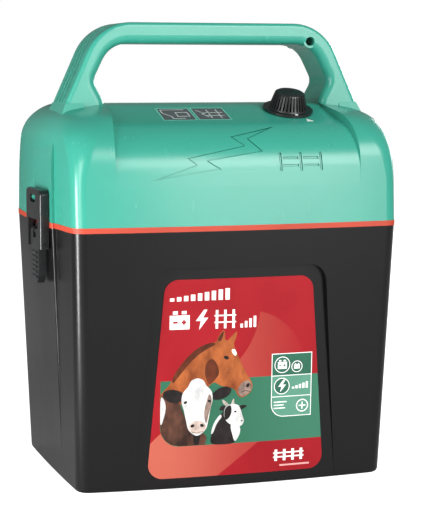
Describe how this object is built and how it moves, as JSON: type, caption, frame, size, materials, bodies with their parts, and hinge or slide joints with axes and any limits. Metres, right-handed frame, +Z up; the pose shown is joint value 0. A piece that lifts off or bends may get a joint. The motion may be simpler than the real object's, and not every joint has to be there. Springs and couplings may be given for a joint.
{
  "type": "fence energizer",
  "caption": "Battery fence energizer: tapered black case, teal top with carrying handle, side over-centre latches, control knob, indicator windows and rear output posts.",
  "frame": {"origin": "centre of the case's underside, on the ground", "axes": "+Z up, -Y the front with the label, +X to the right seen from the front"},
  "size_m": [0.2568, 0.2287, 0.3223],
  "materials": {
    "case_black": "satin",
    "label_print": "satin",
    "seal_rubber": "satin",
    "foot_rubber": "matte",
    "battery_wrap": "satin",
    "plated_brass": "polished",
    "steel": "brushed",
    "housing_teal": "gloss",
    "window_dark": "gloss",
    "lamp_red": "gloss",
    "board_green": "satin",
    "mark_pale": "matte",
    "switch_grey": "satin",
    "tray_grey": "matte",
    "core_steel": "matte",
    "coil_copper": "satin",
    "capacitor_blue": "gloss",
    "strap_black": "matte",
    "connector_black": "matte",
    "lead_red": "satin",
    "lead_black": "satin",
    "lead_green": "satin",
    "knob_black": "satin",
    "nut_red": "satin",
    "nut_green": "satin",
    "latch_black": "satin"
  },
  "bodies": {
    "battery_case": {"battery_case": "case_black", "front_label": "label_print", "seal_gasket": "seal_rubber", "rubber_feet": "foot_rubber", "battery_block": "battery_wrap", "battery_terminals": "plated_brass", "latch_pivot_pins": "steel"},
    "top_housing": {"top_housing": "housing_teal", "handle_back_cover": "housing_teal", "handle_screws": "steel", "indicator_windows": "window_dark", "indicator_leds": "lamp_red", "display_board": "board_green", "pointer_mark": "mark_pale", "rotary_switch": "switch_grey", "switch_seal": "foot_rubber", "switch_nut": "steel", "electronics_tray": "tray_grey", "tray_screws": "steel", "circuit_board": "board_green", "board_screws": "steel", "transformer_core": "core_steel", "transformer_coil": "coil_copper", "storage_capacitor": "capacitor_blue", "capacitor_strap": "strap_black", "fence_post": "plated_brass", "earth_post": "plated_brass", "post_washers": "steel", "post_lock_nuts": "plated_brass", "lead_connectors": "connector_black", "battery_lead_red": "lead_red", "battery_lead_black": "lead_black", "fence_wire": "lead_red", "earth_wire": "lead_green"},
    "knob": {"knob": "knob_black", "switch_shaft": "switch_grey", "knob_dot": "mark_pale"},
    "fence_nut": {"fence_nut": "nut_red"},
    "earth_nut": {"earth_nut": "nut_green"},
    "lever_left": {"latch_lever_left": "latch_black", "hasp_pin_left": "latch_black"},
    "hasp_left": {"latch_hasp_left": "latch_black"},
    "lever_right": {"latch_lever_right": "latch_black", "hasp_pin_right": "latch_black"},
    "hasp_right": {"latch_hasp_right": "latch_black"}
  },
  "joints": [
    {"name": "housing_lift", "type": "slide", "parent": "battery_case", "child": "top_housing", "axis": [0, 0, 1], "range_m": [0, 0.12]},
    {"name": "knob_turn", "type": "hinge", "parent": "top_housing", "child": "knob", "pos_m": [0.051, -0.0482, 0.26009], "axis": [0.0161, -0.3003, 0.9537], "range_deg": [-240, 30]},
    {"name": "fence_nut_turn", "type": "hinge", "parent": "top_housing", "child": "fence_nut", "pos_m": [-0.036, 0.112, 0.206], "axis": [0, 1, 0], "continuous": true},
    {"name": "earth_nut_turn", "type": "hinge", "parent": "top_housing", "child": "earth_nut", "pos_m": [0.036, 0.112, 0.206], "axis": [0, 1, 0], "continuous": true},
    {"name": "latch_left_lever", "type": "hinge", "parent": "battery_case", "child": "lever_left", "pos_m": [-0.1246, -0.017, 0.176], "axis": [0, 1, 0], "range_deg": [0, 130]},
    {"name": "latch_left_hasp", "type": "hinge", "parent": "lever_left", "child": "hasp_left", "pos_m": [-0.1254, -0.017, 0.1684], "axis": [0, 1, 0], "range_deg": [-160, 0]},
    {"name": "latch_right_lever", "type": "hinge", "parent": "battery_case", "child": "lever_right", "pos_m": [0.1246, -0.017, 0.176], "axis": [0, -1, 0], "range_deg": [0, 130]},
    {"name": "latch_right_hasp", "type": "hinge", "parent": "lever_right", "child": "hasp_right", "pos_m": [0.1254, -0.017, 0.1684], "axis": [0, -1, 0], "range_deg": [-160, 0]}
  ],
  "couplings": [
    {"joint": "latch_left_hasp", "follows": "latch_left_lever", "ratio": -1.2},
    {"joint": "latch_right_hasp", "follows": "latch_right_lever", "ratio": -1.2}
  ]
}
